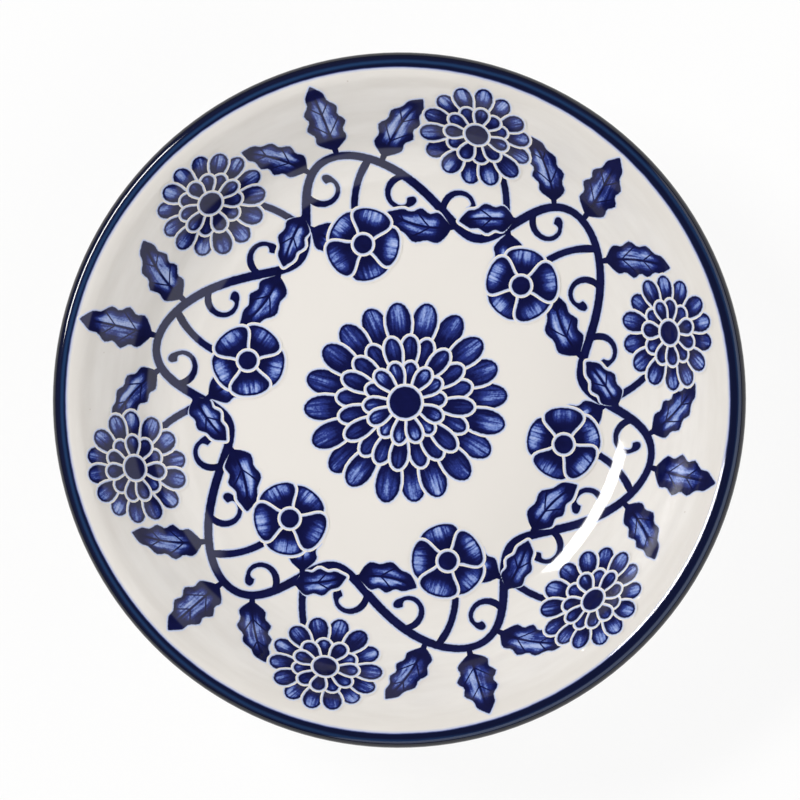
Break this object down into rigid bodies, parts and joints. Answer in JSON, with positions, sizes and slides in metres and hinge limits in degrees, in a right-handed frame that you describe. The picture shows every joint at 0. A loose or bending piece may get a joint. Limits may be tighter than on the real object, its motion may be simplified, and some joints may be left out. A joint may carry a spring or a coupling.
{
  "type": "saucer",
  "caption": "Small round glazed porcelain saucer for dipping sauce: flat well, curved wall that flares to the lip, dark blue band on the rounded lip, blue and white print inside, bare foot ring.",
  "frame": {"origin": "on the table, under the middle of the dish", "axes": "+Z up along the axis of revolution; seen from above, +X is right and +Y is up in the picture"},
  "size_m": [0.095, 0.095, 0.021],
  "materials": {
    "bare_porcelain": "unglazed, fired and wiped, matt",
    "clear_glaze": "clear gloss glaze over white clay",
    "cobalt_glaze": "dark cobalt blue under gloss glaze"
  },
  "bodies": {
    "root": {"porcelain_body": "bare_porcelain", "inside_glaze": "clear_glaze", "rim_band": "cobalt_glaze", "outside_glaze": "clear_glaze", "base_glaze": "clear_glaze"}
  },
  "joints": []
}
